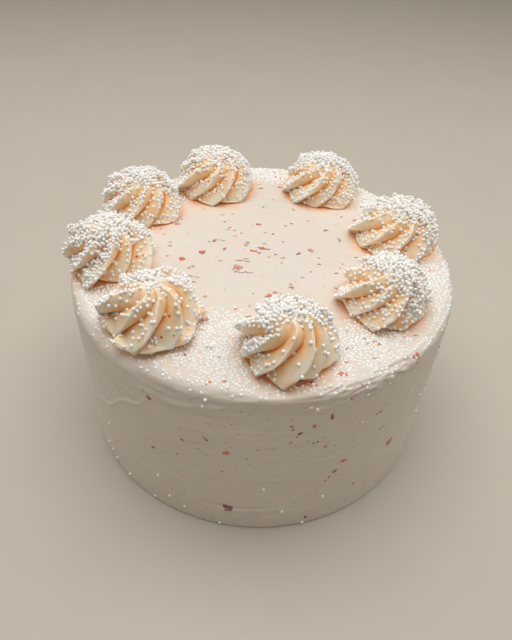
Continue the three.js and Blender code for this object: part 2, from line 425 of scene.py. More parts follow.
@dataclass(frozen=True)
class SpreadButtercream(Buttercream):
    """White chocolate buttercream spread with a spatula.

    The spatula leaves faint level streaks and a few shallow nicks, with painted shade in them. Round the
    swirls' feet their warm light is painted into the cream as a glow.
    """

    name: str = "spread_buttercream"
    cloud_mm: float = 22.0
    cream: str = "#DFD9D0"
    warm_cream: str = "#E0D5C8"
    glow: str = "#F7B878"
    glow_share: float = 0.85
    level_facing: tuple[float, float] = (0.4, 0.9)
    streak_mm: tuple[float, float] = (24.0, 1.4)
    streak_depth_mm: float = 0.3
    streak_strength: float = 0.8
    # painted shade in the nicks
    nick_shade: str = "#B9A795"
    nick_mm: tuple[float, float] = (4.0, 1.8)
    nick_reach: tuple[float, float] = (0.64, 0.71)
    nick_depth_and_shade: float = 0.35
    speck: str = "#D98A76"
    speck_cell_mm: float = 3.4
    speck_share: float = 0.16
    speck_reach: tuple[float, float] = (0.06, 0.22)
    speck_cover: float = 0.55
    roughness: float = 0.5
    scatter_mm: tuple[float, float, float] = (0.6, 0.4, 0.3)

    def material(self) -> Material:
        """Builds the material.

        Returns:
            The material.
        """
        material, tree, place = self.start()
        cream = self.clouded(tree, place, (linear_colour(self.cream), linear_colour(self.warm_cream)))
        # Painted glow: the swirls' warm light painted into the cream round their feet.
        near = add_node(tree, "Attribute", {"attribute_name": "glow"}, {}).outputs["Fac"]
        painted_glow = add_node(tree, "Math", {"operation": "MULTIPLY", 1: self.glow_share}, {0: near})

        normal = add_node(tree, "NewGeometry", {}, {}).outputs["Normal"]
        upward = add_node(tree, "SeparateXYZ", {}, {0: normal}).outputs["Z"]
        facing = dict(zip(("From Min", "From Max"), self.level_facing))
        level = add_node(tree, "MapRange", facing, {"Value": upward}).outputs["Result"]
        # The nicks' mask paints shade into their colour and also cuts them into the bump.
        nicks = self.nicks(tree, place, level)
        layers = {self.speck: self.specks(tree, place), self.glow: painted_glow.outputs["Value"], self.nick_shade: nicks}
        colour = self.painted(tree, cream, layers)

        streaks = self.streaks(tree, place, level)
        cut = add_node(tree, "Math", {"operation": "SUBTRACT"}, {0: streaks, 1: nicks})
        depth = {"Strength": self.streak_strength, "Distance": self.streak_depth_mm * MM}
        bump = add_node(tree, "Bump", depth, {"Height": cut.outputs["Value"]})
        self.close_cream(tree, {"Base Color": colour, "Normal": bump.outputs["Normal"]})
        return material

    def nicks(self, tree: NodeTree, place: NodeSocket, level: NodeSocket) -> NodeSocket:
        """Makes shallow nicks in the wall, wider than they are tall, with painted shade in them.

        Args:
            tree: The node tree.
            place: The place on the object.
            level: How level the surface is, from 0 to 1.

        Returns:
            How deep a nick is, which is also how much painted shade it gets.
        """
        wide, tall = (per_metre(size) for size in self.nick_mm)
        stretched = add_node(tree, "Mapping", {"Scale": (wide, wide, tall)}, {"Vector": place})
        noises = add_node(tree, "TexNoise", {"Scale": 1.0}, {"Vector": stretched.outputs[0]})
        deepest = add_node(
            tree, "MapRange",
            {"From Min": self.nick_reach[0], "From Max": self.nick_reach[1], "To Max": self.nick_depth_and_shade},
            {"Value": noises.outputs["Fac"]},
        )
        upright = add_node(tree, "Math", {"operation": "SUBTRACT", 0: 1.0}, {1: level})
        both = {0: deepest.outputs["Result"], 1: upright.outputs["Value"]}
        return add_node(tree, "Math", {"operation": "MULTIPLY"}, both).outputs["Value"]

    def streaks(self, tree: NodeTree, place: NodeSocket, level: NodeSocket) -> NodeSocket:
        """Makes the spatula's streaks: round the wall, and across the top.

        Args:
            tree: The node tree.
            place: The place on the object.
            level: How level the surface is, from 0 to 1.

        Returns:
            The streaks' height.
        """
        coarse, fine = (per_metre(size) for size in self.streak_mm)
        heights = []
        for scale in ((coarse, coarse, fine), (coarse, fine, coarse)):
            stretched = add_node(tree, "Mapping", {"Scale": scale}, {"Vector": place})
            noises = add_node(tree, "TexNoise", {"Scale": 1.0}, {"Vector": stretched.outputs[0]})
            heights.append(noises.outputs["Fac"])
        by_side = {0: level, 2: heights[0], 3: heights[1]}
        return add_node(tree, "Mix", {"data_type": "FLOAT"}, by_side).outputs[0]


@dataclass(frozen=True)
class PipedButtercream(Buttercream):
    """Buttercream squeezed through a star nozzle.

    Its ridges are smooth and pale. Light that enters the grooves comes out orange, because it has
    passed the cream several times, and that orange is painted as a saturated line of shade down each
    groove. Its tones are painted light and shade: a painted highlight on the crest, then the faces and
    flanks, then painted shade in the groove and under the swirl. Crushed fruit stains it in soft patches.
    """

    name: str = "piped_buttercream"
    cloud_mm: float = 9.0
    # From a painted highlight on the crest to painted shade in the groove, by the groove mark.
    tones: tuple[tuple[float, str], ...] = (
        (0.0, "#FFF3E6"), (0.2, "#FFE6CC"), (0.55, "#FFDAB2"), (0.78, "#FDC68C"), (0.95, "#EE9040"),
    )
    fruit_stain: str = "#FFC083"
    stain_reach: tuple[float, float] = (0.48, 0.72)
    stain_cover: float = 0.6

    def material(self) -> Material:
        """Builds the material.

        Returns:
            The material.
        """
        material, tree, place = self.start()
        # The groove mark gives the painted light and shade of the tones below.
        depth = add_node(tree, "Attribute", {"attribute_name": "groove"}, {}).outputs["Fac"]
        tones = add_node(tree, "ValToRGB", {}, {"Fac": depth})
        stops = tones.color_ramp.elements
        stops.remove(stops[-1])
        stops[0].color = linear_colour(self.tones[0][1])
        for at, tone in self.tones[1:]:
            stops.new(at).color = linear_colour(tone)

        patches = add_node(tree, "TexNoise", {"Scale": per_metre(self.cloud_mm)}, {"Vector": place})
        low, high = self.stain_reach
        stain_and_shade = add_node(
            tree, "MapRange", {"From Min": low, "From Max": high, "To Max": self.stain_cover},
            {"Value": patches.outputs["Fac"]},
        )
        layers = {self.fruit_stain: stain_and_shade.outputs["Result"], self.speck: self.specks(tree, place)}
        self.close_cream(tree, {"Base Color": self.painted(tree, tones.outputs["Color"], layers)})
        return material


@dataclass(frozen=True)
class SugarPearl(Finish):
    """Sugar beads tumbled in a pan until they are smooth and white.

    They have a faint polish, a little sugar dust that brightens their edges, and each lot of them is a
    little warmer or cooler. Sugar has an IOR near 1.5.
    """

    name: str = "sugar_pearl"
    cloud_mm: float = 3.0
    white: str = "#FFFDF8"
    cool_white: str = "#F8FAFC"
    roughness: float = 0.35
    sugar_ior: float = 1.5
    dust: float = 0.6
    dust_roughness: float = 0.4

    def material(self) -> Material:
        """Builds the material.

        Returns:
            The material.
        """
        settings = {
            "Roughness": self.roughness, "IOR": self.sugar_ior,
            "Sheen Weight": self.dust, "Sheen Roughness": self.dust_roughness,
        }
        return self.plain((linear_colour(self.white), linear_colour(self.cool_white)), settings)


@dataclass(frozen=True)
class DriedFruit(Finish):
    """Freeze-dried fruit crushed to flakes and softened by the cream: matte, uneven and stained."""

    name: str = "dried_fruit"
    cloud_mm: float = 1.2
    tint: FruitTint = FruitTint.RED
    roughness: float = 0.6
    paler: float = 0.75
    milky: float = 0.15

    def material(self) -> Material:
        """Builds the material.

        Returns:
            The material.
        """
        full = linear_colour(self.tint.value)
        pale = tuple(self.paler * channel + self.milky for channel in full[:3]) + (1.0,)
        return self.plain((full, pale), {"Roughness": self.roughness})


@dataclass(frozen=True)
class StudioPaper(Finish):
    """Matte backdrop paper under the cake: pale, and even but for the softest clouds."""

    name: str = "studio_paper"
    cloud_mm: float = 60.0
    paper: str = "#C6BEB1"
    shade: str = "#C1B9AC"
    roughness: float = 0.85

    def material(self) -> Material:
        """Builds the material.

        Returns:
            The material.
        """
        tones = (linear_colour(self.paper), linear_colour(self.shade))
        return self.plain(tones, {"Roughness": self.roughness})


@dataclass(frozen=True)
class Swell:
    """A smooth swell round one direction of the cake."""

    size: float
    middle: float
    spread: float

    def at(self, angles: np.ndarray) -> np.ndarray:
        """Gives the swell's height in each direction."""
        return self.size * np.exp(-((apart(angles, self.middle) / self.spread) ** 2))


@dataclass(frozen=True)
class SpatulaMark:
    """A ridge or crease that the spatula left on the wall, along a line that may slope and waver."""

    height: float
    middle: float
    spread: float
    level: float
    width: float
    slope: float
    waver: float
    wavelength: float

    def at(self, angles: np.ndarray, levels: np.ndarray) -> np.ndarray:
        """Gives the mark's height at places on the wall.

        Args:
            angles: Directions of the places.
            levels: Their levels.

        Returns:
            How far the mark stands out at each.
        """
        along = apart(angles, self.middle)
        line = self.level + self.slope * along + self.waver * sine(along * FULL_TURN / self.wavelength)
        fade = np.exp(-((along / self.spread) ** 4))
        return self.height * fade * np.exp(-(((levels - line) / self.width) ** 2))


@dataclass(frozen=True)
class RimFold:
    """A stretch of the rim where the spatula tore the cream into thin folds along the edge.

    Its reach runs from above the rim's edge, less than 0, to below it, and fades out over its fade.
    """

    height: float
    middle: float
    spread: float
    reach: tuple[float, float]
    fold_mm: tuple[float, float]
    seed: float
    fade: float = 4.0
    sharpness: float = 3.2
    least_shown: float = 0.01

    def at(self, along: np.ndarray, across: np.ndarray, angles: np.ndarray) -> np.ndarray:
        """Gives the folds' height at places round the rim.

        Args:
            along: How far round the rim each place is, in millimetres.
            across: How far down from the rim's edge each one is, less than 0 on the top.
            angles: Directions of the places.

        Returns:
            How far the folds stand out at each.
        """
        low, high = self.reach
        shown = np.exp(-((apart(angles, self.middle) / self.spread) ** 4))
        shown = shown * smooth_step(across, low - self.fade, low)
        shown = shown * (1 - smooth_step(across, high, high + self.fade))
        near = shown > self.least_shown
        flat = np.stack([along, across, np.zeros_like(along)], axis=-1)
        values = np.zeros_like(along)
        values[near] = SoftRelief(self.sharpness, (*self.fold_mm, 1.0), self.seed).at(flat[near])
        return self.height * shown * (1 - np.abs(values))


@dataclass
class FrostingCoat:
    """The cake's smooth coat of spread buttercream, from its flat underside over the rim to the top."""

    radius: float = 95.8
    height: float = 99.0
    rim_round: float = 4.4
    rim_extra: Swell = Swell(2.5, 230.0, 20.0)
    rim_sharp: Swell = Swell(-2.6, 277.0, 9.0)
    taper: Swell = Swell(-1.8, 262.0, 42.0)
    taper_depth: float = 26.0
    lip: Swell = Swell(2.0, 277.0, 9.0)
    lip_depth: float = 6.0
    wall_wave: float = 0.5
    wall_waves: float = 3.0
    wall_slant: float = 140.0
    foot_round: float = 1.2
    dish_depth: float = 0.6
    dish_radius: float = 50.0
    sides: int = 480
    foot_rings: int = 4
    wall_rings: int = 100
    rim_rings: int = 14
    top_rings: int = 54
    glow_gap: float = 1.0
    glow_reach: float = 2.6
    glow_depth: tuple[float, float] = (4.0, 0.5)
    everywhere: tuple[SoftRelief, ...] = (
        SoftRelief(0.3, (34.0, 34.0, 20.0), 1.0),
        SoftRelief(0.12, (6.0, 6.0, 4.0), 6.0),
    )
    wall_streaks: tuple[SoftRelief, ...] = (
        SoftRelief(0.16, (60.0, 60.0, 3.6), 2.0),
        SoftRelief(0.12, (30.0, 30.0, 1.9), 3.0),
    )
    top_streaks: tuple[SoftRelief, ...] = (
        SoftRelief(0.14, (42.0, 5.0, 9.0), 4.0),
        SoftRelief(0.09, (20.0, 2.4, 9.0), 5.0),
    )
    nicks: SoftRelief = SoftRelief(1.0, (6.0, 6.0, 2.2), 7.0)
    nick_from: float = 0.33
    scraped: SoftRelief = SoftRelief(0.22, (11.0, 11.0, 2.6), 9.0)
    scraped_patches: SoftRelief = SoftRelief(1.0, (26.0, 26.0, 16.0), 10.0)
    patch_edge: tuple[float, float] = (-0.3, 0.4)
    top_facing: tuple[float, float] = (0.3, 0.95)
    smooth_foot: tuple[float, float] = (0.5, 4.0)
    marks: tuple[SpatulaMark, ...] = (
        SpatulaMark(0.7, 229.0, 14.0, 64.0, 1.1, 1.4, 1.6, 13.0),
        SpatulaMark(0.6, 254.0, 11.0, 88.0, 1.0, 0.36, 0.7, 9.0),
        SpatulaMark(0.5, 282.0, 10.0, 91.0, 1.0, -0.1, 0.5, 8.0),
        SpatulaMark(-0.7, 267.0, 12.0, 19.0, 1.4, 0.03, 0.4, 40.0),
        SpatulaMark(0.5, 267.0, 12.0, 16.8, 1.2, 0.03, 0.4, 40.0),
        SpatulaMark(0.4, 318.0, 20.0, 70.0, 1.8, 0.1, 1.0, 20.0),
        SpatulaMark(0.35, 296.0, 9.0, 55.0, 1.2, 0.35, 0.8, 11.0),
        SpatulaMark(0.35, 245.0, 10.0, 60.0, 1.2, -0.2, 0.8, 11.0),
        SpatulaMark(-0.4, 120.0, 30.0, 40.0, 2.2, 0.1, 1.0, 26.0),
        SpatulaMark(0.5, 60.0, 34.0, 76.0, 1.4, -0.08, 1.0, 21.0),
        SpatulaMark(0.5, 160.0, 24.0, 82.0, 1.2, 0.15, 1.2, 17.0),
    )
    folds: tuple[RimFold, ...] = (
        RimFold(0.5, 302.0, 17.0, (-5.0, 6.0), (7.0, 2.4), 1.0),
        RimFold(0.35, 312.0, 16.0, (-8.0, 3.0), (22.0, 2.4), 5.0),
        RimFold(0.3, 250.0, 34.0, (1.0, 12.0), (26.0, 3.2), 2.0),
        RimFold(0.35, 20.0, 60.0, (-4.0, 8.0), (24.0, 3.0), 3.0),
        RimFold(0.3, 130.0, 50.0, (-4.0, 8.0), (24.0, 3.0), 4.0),
    )

    def wall(self, angles: np.ndarray, levels: np.ndarray) -> np.ndarray:
        """Gives the wall's distance from the axis.

        Args:
            angles: Directions of the places.
            levels: Their levels.

        Returns:
            The distances.
        """
        share = levels / self.height
        lip = self.lip.at(angles) * np.clip(1 - (self.height - levels) / self.lip_depth, 0, None)
        taper = self.taper.at(angles) * np.clip(1 - (self.height - levels) / self.taper_depth, 0, None)
        wave = self.wall_wave * sine(self.wall_waves * angles + self.wall_slant * share)
        return self.radius + lip + taper + wave * sine(HALF_TURN * share)

    def outline(self, angles: np.ndarray) -> tuple[np.ndarray, ...]:
        """Gives the coat's smooth rings, before the spatula's marks.

        Args:
            angles: The directions of a ring's points.

        Returns:
            Four arrays with a row for each ring and a column for each direction: distance from the
            axis, level, and the outward and upward parts of the normal.
        """
        ones = np.ones_like(angles)
        rows = []
        for bend in np.linspace(-RIGHT_ANGLE, 0, self.foot_rings):
            out = self.wall(angles, 0 * ones) - self.foot_round * (1 - cosine(bend))
            level = self.foot_round * (1 + sine(bend))
            rows.append((out, level * ones, cosine(bend) * ones, sine(bend) * ones))
        rim = self.rim_round + self.rim_extra.at(angles) + self.rim_sharp.at(angles)
        shoulder = self.height - rim
        for share in np.linspace(0, 1, self.wall_rings + 1)[1:]:
            level = self.foot_round + (shoulder - self.foot_round) * share
            rows.append((self.wall(angles, level), level, ones, 0 * ones))
        inset = self.wall(angles, shoulder) - rim
        for bend in np.linspace(0, RIGHT_ANGLE, self.rim_rings + 1)[1:]:
            outward, upward = cosine(bend) * ones, sine(bend) * ones
            rows.append((inset + rim * outward, shoulder + rim * upward, outward, upward))
        for share in np.linspace(1, 0, self.top_rings + 1)[1:-1]:
            out = inset * share
            dish = self.dish_depth * np.clip(1 - out / self.dish_radius, 0, 1)
            rows.append((out, self.height - dish, 0 * ones, ones))
        return tuple(np.array([row[part] for row in rows]) for part in range(4))

    def relief(self, angles: np.ndarray, points: np.ndarray, up: np.ndarray) -> np.ndarray:
        """Gives how far the spatula's work stands out from the smooth outline.

        Args:
            angles: Directions of the places.
            points: The places themselves.
            up: The upward part of the normal at each.

        Returns:
            The relief in millimetres.
        """
        levels = points[:, 2]
        along = np.radians(angles) * self.radius
        across = (self.height - levels) + np.linalg.norm(points[:, :2], axis=1) - self.radius
        broad = sum(part.at(points) for part in self.everywhere)
        torn = sum(fold.at(along, across, angles) for fold in self.folds)

        streaks = sum(part.at(points) for part in self.wall_streaks)
        drawn = sum(mark.at(angles, levels) for mark in self.marks)
        nicks = np.clip(self.nicks.at(points) - self.nick_from, 0, None)
        scraped = self.scraped.at(points) * smooth_step(self.scraped_patches.at(points), *self.patch_edge)
        swept = sum(part.at(points) for part in self.top_streaks)
        top = smooth_step(up, *self.top_facing)
        by_side = (1 - top) * (streaks + drawn - nicks + scraped) + top * swept
        return (broad + torn + by_side) * smooth_step(levels, *self.smooth_foot)

    def skin(self) -> Skin:
        """Builds the coat's mesh.

        Returns:
            The mesh, marked with the painted glow round the swirls.
        """
        angles = np.linspace(0, FULL_TURN, self.sides, endpoint=False)
        out, level, outward, upward = self.outline(angles)
        turn = np.broadcast_to(angles, out.shape)
        smooth = around(out, turn, level).reshape(-1, 3)
        raised = self.relief(turn.ravel(), smooth, upward.ravel()).reshape(out.shape)
        out = out + raised * outward
        level = level + raised * upward
        rings = around(out, turn, level)
        low_pole = np.array([[0.0, 0.0, 0.0]])
        high_pole = np.array([[0.0, 0.0, level[-1].mean()]])
        points = np.concatenate([low_pole, rings.reshape(-1, 3), high_pole])
        return Skin(points, ring_triangles(len(out), self.sides), {"glow": self.glow(points)})

    def glow(self, points: np.ndarray) -> np.ndarray:
        """Gives how much of the swirls' warm light is painted into the cream round their feet, as a glow.

        Args:
            points: Places on the coat.

        Returns:
            The glow at each, from 0 to 1.
        """
        painted_glow = np.zeros(len(points))
        for swirl in SWIRLS:
            gap = np.linalg.norm(points[:, :2] - swirl.middle()[:2], axis=1) - swirl.radius * swirl.foot_share
            painted_glow = np.maximum(painted_glow, np.exp(-np.clip(gap + self.glow_gap, 0, None) / self.glow_reach))
        faint, full = (self.height - depth for depth in self.glow_depth)
        return painted_glow * smooth_step(points[:, 2], faint, full)


@dataclass
class PipedSwirl:
    """One swirl squeezed from a star nozzle: blades that lean and wind out from its top.

    Near the top a blade's sharp crest lies close to the groove clockwise of it. Towards the foot the
    crest moves across, so the blade's clockwise face grows broad and its tip droops over the next.

    Its place is an angle and a reach from the cake's axis. It winds by some degrees from its foot to its
    top, and its phase picks its own unevenness. The pearls were showered on it from one side, down to
    the cap's edge, which is a share of the radius. A few more were thrown over its crests, and near it.
    """

    node: str
    angle: float
    reach: float
    radius: float
    height: float
    turn: float
    wind: float
    phase: float
    pearls: int
    shower_from: float
    cap_edge: float
    near_pearls: float = 0.08
    ridges: int = 9
    thrown_pearls: float = 0.16
    thrown_reach: tuple[float, float] = (-0.9, 0.2)
    cap_fade: float = 0.12
    cap_foot: tuple[float, float] = (0.1, 0.5)
    bare_groove: float = 0.75
    pearl_slope: tuple[float, float] = (-0.05, 0.6)
    pearl_crest: tuple[float, float] = (0.45, 0.05)
    lowest_pearl: float = 1.5
    groove_share: float = 0.22
    foot_share: float = 0.97
    widest_level: float = 0.13
    peek: float = 0.4
    tip: tuple[float, float] = (0.0, -3.0)
    fullness: float = 0.86
    crest: tuple[float, float] = (0.76, 0.25)
    crest_shift: tuple[float, float] = (0.05, 0.7)
    curve: tuple[float, float] = (1.15, 0.8)
    curve_shift: tuple[float, float] = (0.0, 0.4)
    wind_bend: float = 0.85
    droop: float = 0.1
    droop_fade: float = 1.5
    lobe_out: float = 0.08
    lobe_span: float = 1.3
    tip_uneven: float = 0.05
    ridge_uneven: float = 0.14
    uneven_turn: float = 137.5
    turn_uneven: float = 3.0
    narrow: float = 285.0
    # How the painted groove shade spreads, from the foot to the top.
    stain_and_shade: tuple[float, float] = (1.5, 0.75)
    groove_shade_shift: tuple[float, float] = (0.1, 0.6)
    under_shade: float = 0.85
    wobble: float = 0.4
    wobble_sizes: tuple[tuple[float, float], ...] = ((1.0, 7.0), (0.35, 2.6))
    root: float = 6.0
    root_share: float = 0.75
    steps_per_ridge: int = 20
    under_rings: int = 10
    dome_rings: int = 56

    def middle(self) -> np.ndarray:
        """Gives the middle of the swirl's foot on the cake."""
        return around(self.reach, self.angle, FrostingCoat.height)

    def shape(self, rounds: np.ndarray, rises: np.ndarray) -> tuple[np.ndarray, np.ndarray]:
        """Gives places on the swirl's surface.

        Args:
            rounds: The round places in ridges: whole numbers are grooves.
            rises: The rises: -90 at the foot, 0 where the swirl is widest and 90 at its top.

        Returns:
            The places in millimetres, and how much painted shade each one gets, from 0 to 1: down the grooves
            and under the swirl near its foot.
        """
        ridge = np.floor(rounds)
        step = rounds - ridge
        odd = sine(self.uneven_turn * ridge + self.phase)
        climb = np.clip(rises, 0, None)
        top = climb / RIGHT_ANGLE
        under = sine(np.clip(-rises, 0, None))

        # Where the crest lies between its two grooves, and how the blade rises to it.
        crest = self.crest[0] + (self.crest[1] - self.crest[0]) * smooth_step(top, *self.crest_shift)
        share = np.where(step < 0.5, 2 * step * crest, crest + (2 * step - 1) * (1 - crest))
        curve = self.curve[0] + (self.curve[1] - self.curve[0]) * smooth_step(top, *self.curve_shift)
        ridge_rise = 1 - np.abs(2 * step - 1) ** curve

        # The dome that the crests lie on, cut by the grooves, with a lobe under each blade's tip.
        widest = self.widest_level * self.height
        outward = cosine(climb) ** self.fullness * (1 - (1 - self.foot_share) * under ** 2)
        outward = outward * (1 + self.tip_uneven * odd * ridge_rise * (1 - top))
        level = widest * (1 - under) + (self.height - widest) * sine(climb) ** self.fullness
        swell = 1 + self.ridge_uneven * odd * sine(HALF_TURN * step)
        below = sine(HALF_TURN * np.clip(self.lobe_span * under, 0, 1))
        lobe = self.peek * below * sine(RIGHT_ANGLE * (1 - ridge_rise))
        outward = outward * (1 + self.lobe_out * lobe)
        groove = self.groove_share * self.radius * (1 - top ** 2) * (1 - ridge_rise * swell) * (1 - lobe)
        sag = self.droop * self.height * ridge_rise * (1 - top) ** self.droop_fade * (1 - under)

        # The blades are squeezed closer on one side, and wind towards the top.
        leant = (ridge + share) * FULL_TURN / self.ridges
        squeezed = -self.turn_uneven * sine(2 * (leant + self.turn + self.wind / 2 - self.narrow))
        angle = self.turn + leant + squeezed + self.wind * top ** self.wind_bend
        out = np.clip(self.radius * outward - groove * cosine(climb), 0, None)
        places = around(out, angle, level - groove * sine(climb) - sag)
        places[..., :2] += np.array(self.tip) * top[..., None] ** 2

        # Painted shade: an orange line down each groove, fading towards the top and where a lobe peeks, and
        # more under the swirl near its foot.
        spreading = self.stain_and_shade[0] + (self.stain_and_shade[1] - self.stain_and_shade[0]) * smooth_step(top, *self.groove_shade_shift)
        stain_and_shade = (1 - ridge_rise) ** spreading * (1 - top ** 4) * (1 - self.under_shade * lobe)
        return places, np.maximum(stain_and_shade, self.under_shade * under ** 2)

    def skin(self) -> Skin:
        """Builds the swirl's mesh, its root sunk in the cake.

        Returns:
            The mesh, marked with how much painted shade each point gets, in the grooves and under the swirl.
        """
        sides = self.ridges * self.steps_per_ridge
        rounds = np.arange(sides) / self.steps_per_ridge
        under = np.linspace(-RIGHT_ANGLE, 0, self.under_rings, endpoint=False)
        dome = np.linspace(0, RIGHT_ANGLE, self.dome_rings, endpoint=False)
        rises = np.concatenate([[-RIGHT_ANGLE], under, dome])
        rings, grooves = self.shape(*np.meshgrid(rounds, rises))
        rings[0, :, :2] *= self.root_share
        rings[0, :, 2] = -self.root
        points = rings.reshape(-1, 3)
        (large, large_mm), (small, small_mm) = self.wobble_sizes
        wobble = [
            SoftRelief(large, (large_mm,) * 3, self.phase + part).at(points)
            + SoftRelief(small, (small_mm,) * 3, self.phase - part).at(points)
            for part in range(3)
        ]
        points = points + self.wobble * np.stack(wobble, axis=-1)
        poles = np.array([[0.0, 0.0, -self.root], [*self.tip, self.height]])
        points = np.concatenate([poles[:1], points, poles[1:]]) + self.middle()
        marks = np.concatenate([[1.0], grooves.ravel(), [0.0]])
        return Skin(points, ring_triangles(len(rises), sides), {"groove": marks})

    def pearl_weights(self, skin: Skin) -> np.ndarray:
        """Gives how readily pearls stay on each triangle of the swirl.

        Args:
            skin: The swirl's mesh.

        Returns:
            A weight for each triangle.
        """
        normals, areas = skin.facing()
        centres = sum(skin.corners()) / 3 - self.middle()
        side = np.array([cosine(self.shower_from), sine(self.shower_from)])
        aside = centres[:, :2] @ side / self.radius
        groove = skin.marks["groove"][skin.triangles].mean(axis=1)
        shelf = smooth_step(normals[:, 2], *self.pearl_slope)
        lifted = smooth_step(centres[:, 2] / self.height, *self.cap_foot)
        cap = smooth_step(aside, self.cap_edge - self.cap_fade, self.cap_edge + self.cap_fade)
        cap = cap * (1 - self.bare_groove * groove) * lifted
        crests = smooth_step(groove, *self.pearl_crest)
        thrown = self.near_pearls + self.thrown_pearls * smooth_step(aside, *self.thrown_reach) * crests
        return areas * shelf * np.maximum(cap, thrown) * (centres[:, 2] > self.lowest_pearl)


SWIRLS = (
    PipedSwirl(
        "swirl_front", 281.0, 70.6, 20.6, 27.0, 0.0, 104.0, 21.0, 740, 120.0, -0.25, 0.008, 9, 0.08,
        groove_share=0.32, foot_share=0.86, widest_level=0.23, tip=(-3.0, -5.0), droop=0.13,
    ),
    PipedSwirl(
        "swirl_front_left", 230.3, 72.0, 21.4, 26.0, 5.0, 76.0, 82.0, 560, 105.0, -0.05, 0.05, 8,
        groove_share=0.33, foot_share=0.78, widest_level=0.3, peek=1.0, tip=(2.0, -5.0), lobe_out=0.14,
        droop=0.16, ridge_uneven=0.2, turn_uneven=6.0,
    ),
    PipedSwirl(
        "swirl_left", 189.2, 76.6, 21.9, 24.0, 30.0, 88.0, 143.0, 780, 150.0, -0.6,
        groove_share=0.31, foot_share=0.9, widest_level=0.2, tip_uneven=0.1,
    ),
    PipedSwirl("swirl_back_left", 151.2, 79.1, 22.2, 22.5, 20.0, 92.0, 204.0, 760, 110.0, -0.45),
    PipedSwirl("swirl_back_mid_left", 114.7, 74.0, 22.8, 22.8, 5.0, 96.0, 265.0, 760, 95.0, -0.35),
    PipedSwirl("swirl_back_mid_right", 65.6, 75.8, 22.0, 22.0, 35.0, 92.0, 326.0, 760, 80.0, -0.3),
    PipedSwirl("swirl_right_back", 18.0, 73.5, 23.0, 21.5, 15.0, 92.0, 27.0, 760, 60.0, -0.35),
    PipedSwirl(
        "swirl_right_front", 331.0, 65.9, 21.3, 23.5, 25.0, 96.0, 88.0, 760, 40.0, -0.3,
        groove_share=0.25, foot_share=0.9, widest_level=0.18,
    ),
)


@dataclass(frozen=True)
class PearlDrift:
    """A stretch of the cake's top where pearls lie thick: its middle, its reach and how far it spreads."""

    angle: float
    reach: float
    along: float
    across: float
    weight: float

    def at(self, points: np.ndarray) -> np.ndarray:
        """Gives how thick the drift lies at places on the top.

        Args:
            points: The places.

        Returns:
            The drift's weight at each.
        """
        turn = np.degrees(np.arctan2(points[:, 1], points[:, 0]))
        out = np.linalg.norm(points[:, :2], axis=1)
        aside = np.radians(apart(turn, self.angle)) * self.reach / self.along
        return self.weight * np.exp(-(aside ** 4) - ((out - self.reach) / self.across) ** 4)


@dataclass(frozen=True)
class PearlBed:
    """How pearls lie: how far their middles stand out, as a share of their radius, and how many heap."""

    raised: float
    heaped_share: float


